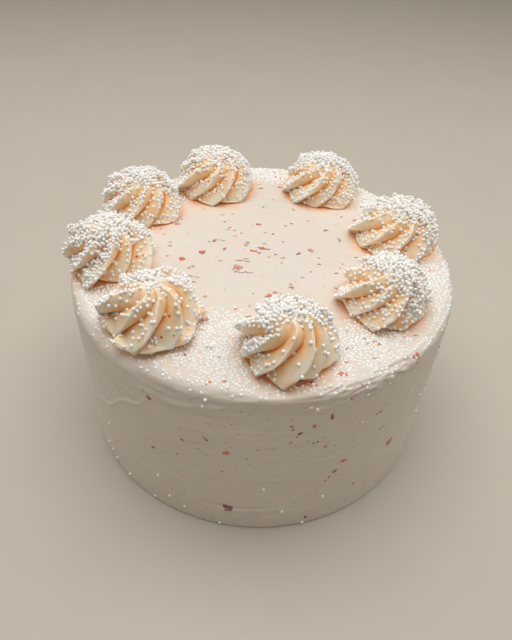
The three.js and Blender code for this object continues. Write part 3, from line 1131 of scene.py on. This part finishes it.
@dataclass
class SugarPearls:
    """The white sugar pearls: drifts on the top, a thick cover on the swirls and a few on the wall."""

    radius: float = 0.83
    radius_uneven: float = 0.1
    spacing: float = 1.4
    on_top: int = 1900
    on_wall: int = 26
    wall_sweep: tuple[float, float] = (0.0, 200.0)
    wall_levels: tuple[float, float] = (3.0, 90.0)
    on_coat: PearlBed = PearlBed(-0.4, 0.01)
    on_swirls: PearlBed = PearlBed(0.22, 0.22)
    heap_lift: float = 1.6
    heap_reach: float = 1.5
    heap_needs: int = 3
    tries: int = 14
    top_seed: int = 51
    swirl_seed: int = 60
    bare_share: float = 0.84
    bead_sides: int = 8
    bead_rises: tuple[float, ...] = (-45.0, 0.0, 45.0)
    patches: SoftRelief = SoftRelief(0.9, (9.0, 9.0, 9.0), 8.0)
    patch_middle: float = 0.7
    patch_least: float = 0.08
    top_slope: tuple[float, float] = (0.2, 0.8)
    drifts: tuple[PearlDrift, ...] = (
        PearlDrift(256.0, 67.0, 13.0, 18.0, 0.5),
        PearlDrift(308.0, 76.0, 16.0, 12.0, 0.5),
        PearlDrift(226.0, 90.0, 26.0, 4.0, 0.03),
        PearlDrift(205.0, 76.0, 14.0, 12.0, 0.35),
        PearlDrift(168.0, 80.0, 12.0, 13.0, 0.7),
        PearlDrift(131.0, 82.0, 12.0, 12.0, 0.7),
        PearlDrift(90.0, 86.0, 14.0, 9.0, 0.7),
        PearlDrift(42.0, 85.0, 14.0, 10.0, 0.7),
        PearlDrift(354.0, 82.0, 14.0, 12.0, 0.2),
        PearlDrift(60.0, 92.0, 190.0, 3.5, 0.1),
        PearlDrift(270.0, 88.0, 60.0, 4.0, 0.03),
    )
    wall_spots: tuple[tuple[float, float], ...] = (
        (258.7, 94.1), (220.9, 34.9), (242.6, 25.9), (274.4, 36.0), (292.3, 22.2), (280.1, 16.2),
        (217.0, 12.0), (219.0, 9.0), (222.0, 7.0), (229.0, 5.0), (240.0, 3.0), (246.0, 12.0),
        (251.0, 8.0), (262.0, 2.0), (287.0, 2.0), (327.6, 58.5), (338.0, 74.0), (336.0, 66.0),
        (334.0, 52.0), (331.0, 40.0),
    )

    def settle(self, skin: Skin, weights: np.ndarray, count: int, bed: PearlBed, seed: int) -> np.ndarray:
        """Drops pearls on a skin, each only where it has room, then heaps some on the others.

        Args:
            skin: The mesh to drop them on.
            weights: How readily they stay on each triangle.
            count: How many to aim for.
            bed: How they lie on it.
            seed: The seed of the random draw.

        Returns:
            The pearls' middles and, in a fourth column, their radii.
        """
        rng = np.random.default_rng(seed)
        picks = rng.choice(len(weights), size=count * self.tries, p=weights / weights.sum())
        first, second, third = (corner[picks] for corner in skin.corners())
        along, across = np.sqrt(rng.random(len(picks)))[:, None], rng.random(len(picks))[:, None]
        places = first * (1 - along) + second * along * (1 - across) + third * along * across
        normals = skin.facing()[0][picks]
        radii = self.radius * (1 + self.radius_uneven * rng.uniform(-1, 1, len(picks)))
        lying = count - round(count * bed.heaped_share)
        cells: dict[tuple[int, ...], list[np.ndarray]] = {}
        kept: list[tuple[float, ...]] = []
        for place, normal, radius in zip(places, normals, radii):
            heap = len(kept) >= lying
            middle = place + normal * radius * (bed.raised + self.heap_lift * heap)
            cell = tuple(int(math.floor(part / self.spacing)) for part in middle)
            near = (
                other
                for dx in (-1, 0, 1) for dy in (-1, 0, 1) for dz in (-1, 0, 1)
                for other in cells.get((cell[0] + dx, cell[1] + dy, cell[2] + dz), ())
            )
            gaps = [np.dot(middle - other, middle - other) for other in near]
            free = not gaps or min(gaps) > self.spacing ** 2
            reach = (self.heap_reach * self.spacing) ** 2
            if free and (not heap or sum(gap < reach for gap in gaps) >= self.heap_needs):
                cells.setdefault(cell, []).append(middle)
                kept.append((*middle, radius))
                if len(kept) == count:
                    break
        return np.array(kept)

    def stuck(self, coat: Drape) -> np.ndarray:
        """Places the single pearls that stick to the wall.

        Args:
            coat: The coat to stick them to.

        Returns:
            The pearls' middles and radii.
        """
        rng = np.random.default_rng(self.on_wall)
        angles = rng.uniform(*self.wall_sweep, self.on_wall)
        levels = rng.uniform(*self.wall_levels, self.on_wall)
        kept = []
        for angle, level in (*self.wall_spots, *zip(angles, levels)):
            place, normal = coat.on_wall(angle, level)
            kept.append((*(place + normal * self.radius * self.on_swirls.raised), self.radius))
        return np.array(kept)

    def loose(self, coat: Drape) -> np.ndarray:
        """Places all the pearls of the coat, on its top and on its wall.

        Args:
            coat: The coat that they lie on.

        Returns:
            The pearls' middles and radii.
        """
        weights = self.top_weights(coat.skin)
        on_top = self.settle(coat.skin, weights, self.on_top, self.on_coat, self.top_seed)
        return np.concatenate([on_top, self.stuck(coat)])

    def skin(self, pearls: np.ndarray) -> Skin:
        """Builds one mesh of all the given pearls.

        Args:
            pearls: Their middles and radii.

        Returns:
            The joined mesh.
        """
        turns = np.arange(self.bead_sides) * FULL_TURN / self.bead_sides
        rise, turn = np.meshgrid(self.bead_rises, turns, indexing="ij")
        rings = around(cosine(rise), turn, sine(rise)).reshape(-1, 3)
        corners = np.concatenate([[[0.0, 0.0, -1.0]], rings, [[0.0, 0.0, 1.0]]])
        faces = ring_triangles(len(self.bead_rises), self.bead_sides)
        points = pearls[:, None, :3] + corners[None] * pearls[:, None, 3:]
        shifts = np.arange(len(pearls))[:, None, None] * len(corners)
        triangles = (faces[None] + shifts).reshape(-1, 3).astype(np.int32)
        return Skin(points.reshape(-1, 3), triangles)

    def top_weights(self, coat: Skin) -> np.ndarray:
        """Gives how readily pearls stay on each triangle of the coat's top.

        Args:
            coat: The coat's mesh.

        Returns:
            A weight for each triangle.
        """
        normals, areas = coat.facing()
        centres = sum(coat.corners()) / 3
        drift = sum(part.at(centres) for part in self.drifts)
        for swirl in SWIRLS:
            gap = np.linalg.norm(centres[:, :2] - swirl.middle()[:2], axis=1)
            drift = drift * (gap > swirl.radius * self.bare_share)
        patchy = np.clip(self.patch_middle + self.patches.at(centres), self.patch_least, 1)
        return areas * drift * patchy * smooth_step(normals[:, 2], *self.top_slope)


@dataclass(frozen=True)
class Fleck:
    """A spot of dried fruit: where it lies, its size, which way it points and how many flakes it has.

    On the top, first and second are its x and y. On the wall they are its direction and its level.
    """

    first: float
    second: float
    length: float
    width: float
    turn: float = 0.0
    flakes: int = 1


TOP_FLECKS = {
    FruitTint.ORANGE: (
        Fleck(-41.6, -5.8, 4.2, 3.4, 20.0, 2),
        Fleck(-3.7, 5.7, 6.0, 2.6, 8.0, 3),
        Fleck(-12.0, -10.6, 4.4, 0.8, 118.0),
        Fleck(-20.0, 4.6, 2.0, 3.0),
        Fleck(-9.0, 8.9, 2.2, 0.9, 5.0),
        Fleck(-28.6, 10.1, 2.2, 1.0),
        Fleck(-18.6, 38.2, 2.0, 1.0, 15.0),
        Fleck(6.0, -30.1, 5.4, 2.2, 28.0, 4),
        Fleck(36.7, -78.7, 3.2, 2.4, 60.0, 3),
        Fleck(-18.5, -87.5, 2.4, 2.0, 50.0, 2),
        Fleck(52.0, -60.0, 2.4, 1.8, 50.0, 2),
    ),
    FruitTint.PINK: (
        Fleck(-12.4, -11.2, 4.6, 4.0, 40.0, 3),
        Fleck(43.2, 41.1, 2.8, 1.6, 10.0, 2),
        Fleck(24.8, 7.6, 3.4, 3.0, 5.0, 2),
        Fleck(-8.6, 10.4, 3.2, 2.6, 50.0, 2),
        Fleck(-35.0, -12.4, 2.8, 2.0, 0.0, 2),
        Fleck(-48.0, 24.0, 2.8, 2.6, 30.0, 2),
        Fleck(-48.0, 7.0, 2.4, 2.4, 0.0, 2),
        Fleck(22.0, -85.2, 5.0, 2.6, 0.0, 4),
    ),
    FruitTint.RED: (
        Fleck(-12.8, -11.0, 4.6, 0.9, 35.0),
        Fleck(-11.6, -11.9, 3.2, 0.8, -28.0),
        Fleck(-31.1, 0.1, 4.4, 2.6, 0.0, 2),
        Fleck(-3.6, 29.3, 3.6, 2.2, -12.0),
        Fleck(33.0, 25.9, 3.0, 2.2, 20.0, 2),
        Fleck(24.6, 8.4, 2.0, 1.4, 60.0),
        Fleck(-26.0, 11.4, 2.8, 2.0, -50.0),
        Fleck(11.0, 29.0, 2.4, 2.0, 90.0, 2),
        Fleck(55.0, 38.0, 3.2, 2.4, -20.0, 2),
        Fleck(0.5, 21.8, 2.0, 0.9, -12.0),
        Fleck(17.8, -86.2, 1.4, 1.0),
        Fleck(69.7, -65.0, 3.6, 2.6, 40.0, 4),
        Fleck(45.0, -83.0, 2.4, 1.4, 30.0, 2),
    ),
    FruitTint.VIOLET: (
        Fleck(-8.2, -14.1, 6.0, 1.1, -4.0, 3),
        Fleck(-32.8, -19.9, 5.4, 1.0, -12.0, 2),
        Fleck(-7.9, -2.4, 5.0, 0.9, 2.0, 2),
        Fleck(15.0, -24.2, 5.4, 1.0, -6.0, 2),
        Fleck(-23.0, 12.4, 4.4, 0.9, 4.0, 2),
        Fleck(19.4, -84.0, 2.2, 1.2, 10.0, 2),
    ),
    FruitTint.DARK_RED: (
        Fleck(20.4, -85.8, 2.2, 1.4, -20.0),
        Fleck(23.6, -84.3, 2.6, 1.3, 25.0),
        Fleck(25.6, -85.6, 1.5, 1.0, 40.0),
    ),
}

WALL_FLECKS = {
    FruitTint.DARK_RED: (
        Fleck(242.9, 84.3, 2.6, 2.4, -50.0, 2),
        Fleck(258.8, 70.2, 2.6, 1.6, -10.0, 2),
        Fleck(264.6, 17.3, 4.4, 3.2, 0.0, 5),
        Fleck(280.2, 80.4, 2.2, 2.2, 0.0, 2),
        Fleck(282.4, 76.4, 2.6, 1.7, -14.0, 2),
        Fleck(290.9, 83.6, 3.0, 2.4, -20.0, 3),
        Fleck(287.3, 68.5, 2.2, 1.5, 0.0, 2),
        Fleck(295.0, 42.0, 3.4, 1.4, 50.0, 3),
        Fleck(287.8, 6.2, 2.6, 2.0, 0.0, 2),
        Fleck(306.0, 73.7, 3.2, 1.4, 10.0, 2),
    ),
    FruitTint.RED: (
        Fleck(241.7, 48.7, 2.4, 2.4, -30.0, 2),
        Fleck(252.0, 64.7, 2.2, 1.9),
        Fleck(286.2, 78.9, 3.0, 2.2, 10.0, 2),
        Fleck(315.2, 39.5, 4.4, 3.0, 60.0, 4),
        Fleck(296.5, 47.2, 4.0, 2.2, 12.0, 4),
        Fleck(292.9, 36.5, 3.4, 1.4, 50.0, 3),
        Fleck(303.0, 22.0, 2.2, 1.9, 0.0, 2),
    ),
    FruitTint.ORANGE: (
        Fleck(264.2, 63.5, 2.8, 2.8, 0.0, 3),
        Fleck(290.3, 64.5, 2.6, 2.2, -10.0, 2),
    ),
    FruitTint.VIOLET: (
        Fleck(309.0, 60.0, 3.0, 1.2, 0.0, 2),
    ),
}


@dataclass
class FruitFlecks:
    """Flakes of freeze-dried fruit, pressed flat into the cream: one mesh for each tint."""

    corners: int = 9
    ragged: tuple[float, float] = (0.55, 1.15)
    thickness: float = 0.2
    lift: float = 0.06
    sunk: float = 0.3
    upright_below: float = 0.8
    flake_share: tuple[float, float] = (0.5, 0.85)
    flake_wider: float = 1.3
    flake_turn: float = 25.0
    top_reach: float = 88.0
    top_length: tuple[float, float] = (1.2, 3.0)
    top_width: tuple[float, float] = (0.8, 1.7)
    top_turn: float = 14.0
    top_count: int = 150
    top_tints: tuple[FruitTint, ...] = (
        FruitTint.ORANGE, FruitTint.RED, FruitTint.VIOLET, FruitTint.PINK, FruitTint.PINK,
    )
    violet_longer: float = 1.4
    wall_levels: tuple[float, float] = (4.0, 93.0)
    wall_length: tuple[float, float] = (0.7, 1.7)
    wall_width: tuple[float, float] = (0.6, 1.1)
    wall_turn: float = 18.0
    wall_count: int = 190
    wall_tints: tuple[FruitTint, ...] = (
        FruitTint.DARK_RED, FruitTint.VIOLET, FruitTint.VIOLET, FruitTint.RED, FruitTint.PINK,
    )
    back_angles: tuple[float, float] = (330.0, 570.0)
    back_length: tuple[float, float] = (2.0, 4.0)
    back_width: tuple[float, float] = (1.2, 2.2)
    back_flakes: int = 3
    back_count: int = 31
    back_tints: tuple[FruitTint, ...] = (FruitTint.DARK_RED, FruitTint.RED)
    swirl_shares: tuple[float, float] = (0.02, 0.85)
    swirl_length: tuple[float, float] = (0.8, 2.0)
    swirl_width: tuple[float, float] = (0.6, 1.0)
    swirl_count: int = 9
    swirl_tints: tuple[FruitTint, ...] = (FruitTint.ORANGE, FruitTint.RED, FruitTint.DARK_RED)
    seed: int = 5
    place_seeds: tuple[float, float] = (100.0, 7.0)
    edge_seeds: int = 1_000_000
    flakes: dict[FruitTint, list[Skin]] = field(default_factory=dict)

    def flake(self, drape: Drape, spot: Spot, size: tuple[float, float], turn: float, seed: int) -> Skin:
        """Builds one flake that follows the cream under it.

        Args:
            drape: The skin that it lies on.
            spot: Where its middle lies.
            size: Its length and width.
            turn: Which way it points, anticlockwise from level as seen from outside.
            seed: The seed of its ragged edge.

        Returns:
            The flake's closed mesh.
        """
        place, normal = spot
        upright = abs(normal[2]) < self.upright_below
        level = np.cross([0.0, 0.0, 1.0], normal) if upright else np.array([1.0, 0.0, 0.0])
        level = level / np.linalg.norm(level)
        along = level * cosine(turn) + np.cross(normal, level) * sine(turn)
        across = np.cross(normal, along)
        shares = np.random.default_rng(seed).uniform(*self.ragged, self.corners)
        rim = []
        for corner, share in enumerate(shares):
            step = corner * FULL_TURN / self.corners
            shift = along * size[0] / 2 * cosine(step) + across * size[1] / 2 * sine(step)
            edge, edge_normal = drape.nearest(place + shift * share)
            rim.append(edge + edge_normal * self.lift)
        points = np.array([place - normal * self.sunk, *rim, place + normal * self.thickness])
        return Skin(points, ring_triangles(1, self.corners))

    def add(self, drape: Drape, tint: FruitTint, fleck: Fleck, wall: bool = False) -> None:
        """Adds a fleck's flakes to the ones of its tint.

        Args:
            drape: The skin that it lies on.
            tint: Its colour.
            fleck: The fleck.
            wall: Whether it lies on the wall.
        """
        first_seeds, second_seeds = self.place_seeds
        rng = np.random.default_rng(
            int(abs(first_seeds * fleck.first + second_seeds * fleck.second))
        )
        find = drape.on_wall if wall else drape.on_top
        per_first = np.degrees(1 / FrostingCoat.radius) if wall else 1.0
        for _ in range(fleck.flakes):
            spread = 0.5 * rng.uniform(-1, 1, 2) * (fleck.flakes > 1)
            along, across = fleck.length * spread[0], fleck.width * spread[1]
            right = along * cosine(fleck.turn) - across * sine(fleck.turn)
            up = along * sine(fleck.turn) + across * cosine(fleck.turn)
            spot = find(fleck.first + right * per_first, fleck.second + up)
            share = 1.0 if fleck.flakes == 1 else rng.uniform(*self.flake_share)
            size = (fleck.length * share, fleck.width * min(1.0, share * self.flake_wider))
            turn = fleck.turn + rng.uniform(-self.flake_turn, self.flake_turn)
            skin = self.flake(drape, spot, size, turn, int(rng.integers(self.edge_seeds)))
            self.flakes.setdefault(tint, []).append(skin)

    def on_cake(self, coat: Drape) -> None:
        """Adds the flecks that the photograph shows one by one, and then the many small ones.

        Args:
            coat: The coat that they lie on.
        """
        for wall, tinted in ((False, TOP_FLECKS), (True, WALL_FLECKS)):
            for tint, flecks in tinted.items():
                for fleck in flecks:
                    self.add(coat, tint, fleck, wall)

        rng = np.random.default_rng(self.seed)
        for number in range(self.top_count):
            tint = self.top_tints[number % len(self.top_tints)]
            reach, angle = self.top_reach * math.sqrt(rng.random()), rng.uniform(0, FULL_TURN)
            longer = self.violet_longer if tint is FruitTint.VIOLET else 1.0
            length, width = longer * rng.uniform(*self.top_length), rng.uniform(*self.top_width)
            x, y = float(reach * cosine(angle)), float(reach * sine(angle))
            self.add(coat, tint, Fleck(x, y, length, width, rng.normal(0, self.top_turn)))
        for number in range(self.wall_count):
            tint = self.wall_tints[number % len(self.wall_tints)]
            angle, level = rng.uniform(0, FULL_TURN), rng.uniform(*self.wall_levels)
            length, width = rng.uniform(*self.wall_length), rng.uniform(*self.wall_width)
            fleck = Fleck(angle, level, length, width, rng.normal(0, self.wall_turn))
            self.add(coat, tint, fleck, True)
        for number in range(self.back_count):
            tint = self.back_tints[number % len(self.back_tints)]
            angle, level = rng.uniform(*self.back_angles) % FULL_TURN, rng.uniform(*self.wall_levels)
            length, width = rng.uniform(*self.back_length), rng.uniform(*self.back_width)
            self.add(coat, tint, Fleck(angle, level, length, width, 0.0, self.back_flakes), True)

    def on_piped(self, swirl: PipedSwirl, skin: Skin) -> None:
        """Adds the small flecks that show in a swirl's cream.

        Args:
            swirl: The swirl.
            skin: Its mesh.
        """
        drape = Drape(skin)
        rng = np.random.default_rng(int(swirl.phase))
        middle = swirl.middle()
        for number in range(self.swirl_count):
            tint = self.swirl_tints[number % len(self.swirl_tints)]
            out = swirl.radius * math.sqrt(rng.uniform(*self.swirl_shares))
            angle = rng.uniform(0, FULL_TURN)
            x, y = middle[0] + out * float(cosine(angle)), middle[1] + out * float(sine(angle))
            length, width = rng.uniform(*self.swirl_length), rng.uniform(*self.swirl_width)
            self.add(drape, tint, Fleck(x, y, length, width, rng.uniform(0, HALF_TURN)))

    def skins(self) -> dict[FruitTint, Skin]:
        """Joins the flakes of each tint.

        Returns:
            One mesh for each tint.
        """
        joined = {}
        for tint, flakes in self.flakes.items():
            size = len(flakes[0].points)
            triangles = [flake.triangles + size * number for number, flake in enumerate(flakes)]
            joined[tint] = Skin(np.concatenate([flake.points for flake in flakes]), np.concatenate(triangles))
        return joined


@dataclass(frozen=True)
class Softbox:
    """A soft square light: where it hangs, the point it faces, its side, its power and its colour."""

    name: str
    place: tuple[float, float, float]
    aim: tuple[float, float, float]
    size: float
    watts: float
    colour: str

    def hang(self) -> None:
        """Adds the light to the scene."""
        data = bpy.data.lights.new(self.name, "AREA")
        data.size = self.size * MM
        data.energy = self.watts
        data.color = linear_colour(self.colour)[:3]
        lamp = bpy.data.objects.new(self.name, data)
        lamp.location = Vector(self.place) * MM
        lamp.rotation_euler = (Vector(self.aim) - Vector(self.place)).to_track_quat("-Z", "Y").to_euler()
        bpy.context.scene.collection.objects.link(lamp)


@dataclass
class Studio:
    """The plain floor, the soft lights and the camera at the photograph's viewing angle."""

    floor_radius: float = 3000.0
    floor_rings: int = 24
    floor_sides: int = 96
    camera_place: tuple[float, float, float] = (3.549, -243.830, 276.602)
    camera_tilt: float = 47.68
    camera_turn: float = 1.27
    camera_roll: float = 2.64
    camera_lens: float = 32.98
    camera_sensor: float = 36.0
    world_grey: str = "#908B82"
    world_strength: float = 0.86
    lights: tuple[Softbox, ...] = (
        Softbox("overhead_softbox", (0, 50, 950), (0, 0, 60), 900, 7.9, "#FFFFFF"),
        Softbox("left_softbox", (-900, 350, 500), (0, 0, 50), 500, 1.3, "#FFFAF4"),
        Softbox("right_softbox", (900, 350, 500), (0, 0, 50), 500, 1.3, "#FFFAF4"),
    )

    def floor(self) -> Object:
        """Builds the floor as a wide ringed disc.

        Returns:
            The floor's object.
        """
        sides = np.linspace(0, FULL_TURN, self.floor_sides, endpoint=False)
        radii = self.floor_radius * np.linspace(0, 1, self.floor_rings + 1)[1:]
        out, turn = np.meshgrid(radii, sides, indexing="ij")
        points = np.concatenate([[[0.0, 0.0, 0.0]], around(out, turn, 0 * out).reshape(-1, 3)])
        triangles = ring_triangles(self.floor_rings, self.floor_sides)
        open_disc = triangles[np.all(triangles < len(points), axis=1)][:, ::-1]
        return Skin(points, np.ascontiguousarray(open_disc)).to_object("studio_floor")

    def camera(self) -> None:
        """Sets the camera where the photograph was taken from."""
        data = bpy.data.cameras.new("photo_camera")
        data.lens = self.camera_lens
        data.sensor_width = self.camera_sensor
        holder = bpy.data.objects.new("photo_camera", data)
        holder.matrix_world = Matrix.Translation(Vector(self.camera_place) * MM)
        for angle, axis in ((self.camera_turn, "Z"), (self.camera_tilt, "X"), (self.camera_roll, "Z")):
            holder.matrix_world = holder.matrix_world @ Matrix.Rotation(math.radians(angle), 4, axis)
        bpy.context.scene.collection.objects.link(holder)
        bpy.context.scene.camera = holder

    def build(self) -> None:
        """Builds the whole studio."""
        floor = self.floor()
        floor.data.materials.append(StudioPaper().material())
        world = bpy.data.worlds.new("studio_world")
        world.use_nodes = True
        sky = world.node_tree.nodes["Background"].inputs
        sky["Color"].default_value = linear_colour(self.world_grey)
        sky["Strength"].default_value = self.world_strength
        bpy.context.scene.world = world
        bpy.context.scene.view_settings.view_transform = "Standard"
        for light in self.lights:
            light.hang()
        self.camera()


def main() -> None:
    """Builds and dresses the whole cake."""
    logging.basicConfig(level=logging.INFO, format="%(message)s")
    spread = SpreadButtercream().material()
    piped = PipedButtercream().material()
    sugar = SugarPearl().material()
    pearls = SugarPearls()
    flecks = FruitFlecks()

    coat = Drape(FrostingCoat().skin())
    place_piece(coat.skin.to_object("frosting_coat"), spread, ("frosted_cake",))
    loose = pearls.skin(pearls.loose(coat))
    place_piece(loose.to_object("pearls_on_top_and_wall"), sugar)
    flecks.on_cake(coat)

    for number, swirl in enumerate(SWIRLS):
        skin = swirl.skin()
        place_piece(skin.to_object(swirl.node + "_piped"), piped, (swirl.node,))
        weights, seed = swirl.pearl_weights(skin), pearls.swirl_seed + number
        cover = pearls.settle(skin, weights, swirl.pearls, pearls.on_swirls, seed)
        place_piece(pearls.skin(cover).to_object(swirl.node + "_pearls"), sugar)
        flecks.on_piped(swirl, skin)

    for tint, skin in flecks.skins().items():
        word = tint.name.lower()
        finish = DriedFruit("dried_fruit_" + word, tint=tint).material()
        place_piece(skin.to_object("fruit_flecks_" + word), finish)

    Studio().build()


if __name__ == "__main__":
    main()
